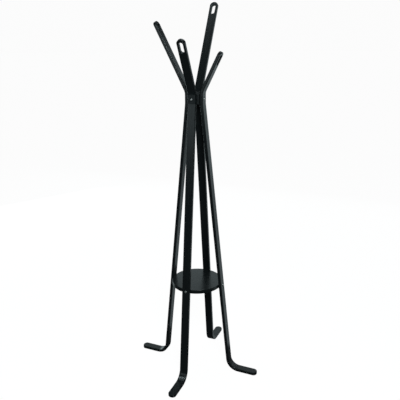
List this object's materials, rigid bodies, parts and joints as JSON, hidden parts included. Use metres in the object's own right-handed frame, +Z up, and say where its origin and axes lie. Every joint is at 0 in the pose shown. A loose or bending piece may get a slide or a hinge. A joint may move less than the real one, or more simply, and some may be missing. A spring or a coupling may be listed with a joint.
{
  "type": "standing coat rack",
  "caption": "Free-standing coat rack of bent black-lacquered plywood strips: splayed legs with flat feet, a bolted neck, flaring slotted arms at staggered heights, and a low round shelf.",
  "frame": {"origin": "on the floor, on the vertical axis that the four legs stand around", "axes": "+Z up; -Y towards the leg whose arm is the second shortest, +X towards the leg with the shortest arm, +Y towards the leg with the longest arm, -X towards the remaining one"},
  "size_m": [0.646, 0.646, 1.78],
  "materials": {
    "leg_lacquer": "satin black lacquer over bent beech plywood, faint grain, ply lines at the edges",
    "shelf_lacquer": "satin black lacquer over plywood, rounded rim",
    "core_lacquer": "matt black stained solid beech",
    "zinc_bolt": "bright zinc-plated steel",
    "zinc_nut": "dull zinc-plated steel",
    "brass_insert": "turned brass",
    "felt": "dark grey pressed felt"
  },
  "bodies": {
    "root": {"shelf": "shelf_lacquer", "neck_core": "core_lacquer", "leg_front": "leg_lacquer", "leg_right": "leg_lacquer", "leg_back": "leg_lacquer", "leg_left": "leg_lacquer", "neck_bolt_front": "zinc_bolt", "shelf_bolt_front": "zinc_bolt", "core_insert_front": "brass_insert", "barrel_nut_front": "zinc_nut", "foot_pad_front": "felt", "neck_bolt_right": "zinc_bolt", "shelf_bolt_right": "zinc_bolt", "core_insert_right": "brass_insert", "barrel_nut_right": "zinc_nut", "foot_pad_right": "felt", "neck_bolt_back": "zinc_bolt", "shelf_bolt_back": "zinc_bolt", "core_insert_back": "brass_insert", "barrel_nut_back": "zinc_nut", "foot_pad_back": "felt", "neck_bolt_left": "zinc_bolt", "shelf_bolt_left": "zinc_bolt", "core_insert_left": "brass_insert", "barrel_nut_left": "zinc_nut", "foot_pad_left": "felt"}
  },
  "joints": []
}
